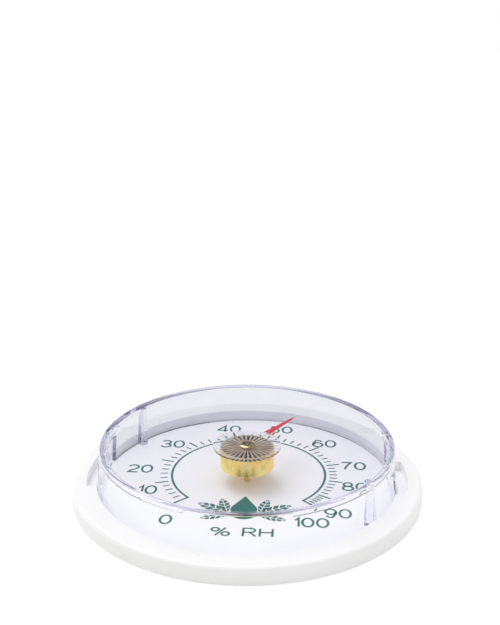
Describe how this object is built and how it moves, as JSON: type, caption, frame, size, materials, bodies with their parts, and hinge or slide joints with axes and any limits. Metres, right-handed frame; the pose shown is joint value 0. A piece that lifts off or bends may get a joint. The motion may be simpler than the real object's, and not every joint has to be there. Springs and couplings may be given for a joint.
{
  "type": "dial hygrometer",
  "caption": "Round dial hygrometer: white moulded base, printed dial, clear push-fit cover, and a brass humidity capsule that turns a red pointer.",
  "frame": {"origin": "centre of the back face, on the surface that the instrument lies or hangs against", "axes": "+Z out of the dial towards the reader, +Y to 12 o'clock, +X to 3 o'clock"},
  "size_m": [0.075, 0.075, 0.0118],
  "materials": {
    "base_white": "smooth moulded",
    "dial_white": "printed",
    "clear": "clear polished",
    "brass": "turned",
    "brass_plate": "stamped",
    "steel": "drawn wire",
    "coil_strip": "coated strip",
    "pointer_red": "lacquered"
  },
  "bodies": {
    "base": {"base_ring": "base_white", "dial_plate": "dial_white", "stem_bush": "brass", "friction_washer": "steel"},
    "cover": {"clear_cover": "clear"},
    "capsule": {"capsule_stem": "brass", "stem_collar": "brass", "setting_disc": "brass", "capsule_cup": "brass", "slotted_plate": "brass_plate", "lower_bearing": "brass", "upper_bearing": "brass", "coil_anchor": "brass", "humidity_coil": "coil_strip"},
    "needle": {"pointer_shaft": "steel", "coil_collet": "brass", "disc_washer": "brass", "pointer_disc": "clear", "hub_cap": "brass", "pointer": "pointer_red", "pointer_rivets": "pointer_red"}
  },
  "joints": [
    {"name": "cover_lift", "type": "slide", "parent": "base", "child": "cover", "axis": [0, 0, 1], "range_m": [0, 0.014]},
    {"name": "calibration_turn", "type": "hinge", "parent": "base", "child": "capsule", "pos_m": [0, 0, 0.003], "axis": [0, 0, 1], "range_deg": [-30, 30]},
    {"name": "pointer_turn", "type": "hinge", "parent": "capsule", "child": "needle", "pos_m": [0, 0, 0.009], "axis": [0, 0, 1], "range_deg": [-99.8, 168.1], "stiffness_Nm_per_rad": 0.00002, "deforming": ["humidity_coil"]}
  ]
}
